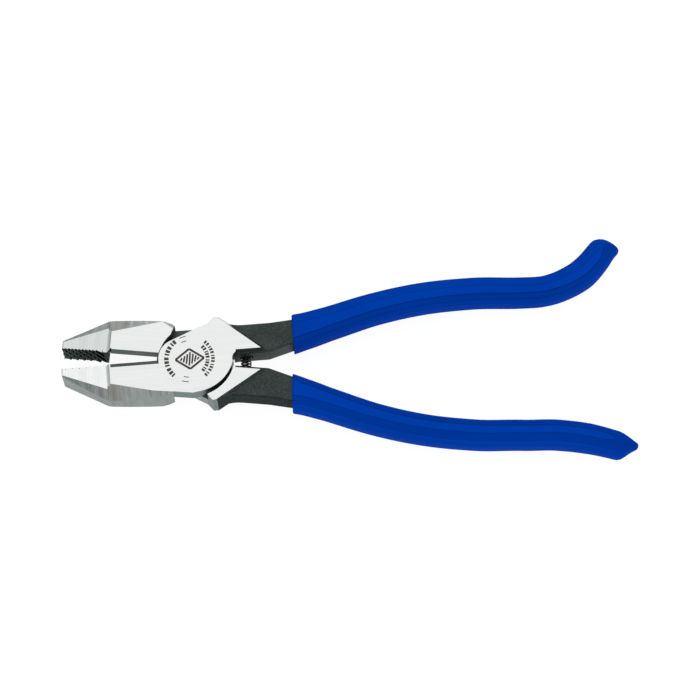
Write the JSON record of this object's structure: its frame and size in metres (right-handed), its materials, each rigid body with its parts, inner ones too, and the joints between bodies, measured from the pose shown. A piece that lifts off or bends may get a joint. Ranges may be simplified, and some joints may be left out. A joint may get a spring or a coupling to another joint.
{
  "type": "lineman pliers",
  "caption": "Side-cutting ironworker's pliers with toothed flat nose, knives, half-lap pivot, return spring and dipped grips, one handle bent outward at its end.",
  "frame": {"origin": "on the pivot axis, at the back face of the head that the tool lies on", "axes": "+X from the pivot towards the handle ends, +Y towards the hook handle's side, +Z out of the front face along the pivot"},
  "size_m": [0.2375, 0.0946, 0.016],
  "materials": {
    "front_forging": "head ground bright, handle black oxide",
    "rear_forging": "head ground bright, handle black oxide",
    "rivet": "ground flush with the head",
    "spring_wire": "black oxide",
    "hook_grip_vinyl": "dipped vinyl, satin",
    "plain_grip_vinyl": "dipped vinyl, satin"
  },
  "bodies": {
    "front_half": {"hook_handle_half": "front_forging", "hook_handle_grip": "hook_grip_vinyl", "pivot_rivet": "rivet", "return_spring": "spring_wire"},
    "rear_half": {"plain_handle_half": "rear_forging", "plain_handle_grip": "plain_grip_vinyl"}
  },
  "joints": [
    {"name": "pivot", "type": "hinge", "parent": "front_half", "child": "rear_half", "pos_m": [0, 0, 0.008], "axis": [0, 0, -1], "range_deg": [-9.2, 24], "stiffness_Nm_per_rad": 1.2, "deforming": ["return_spring"]}
  ]
}
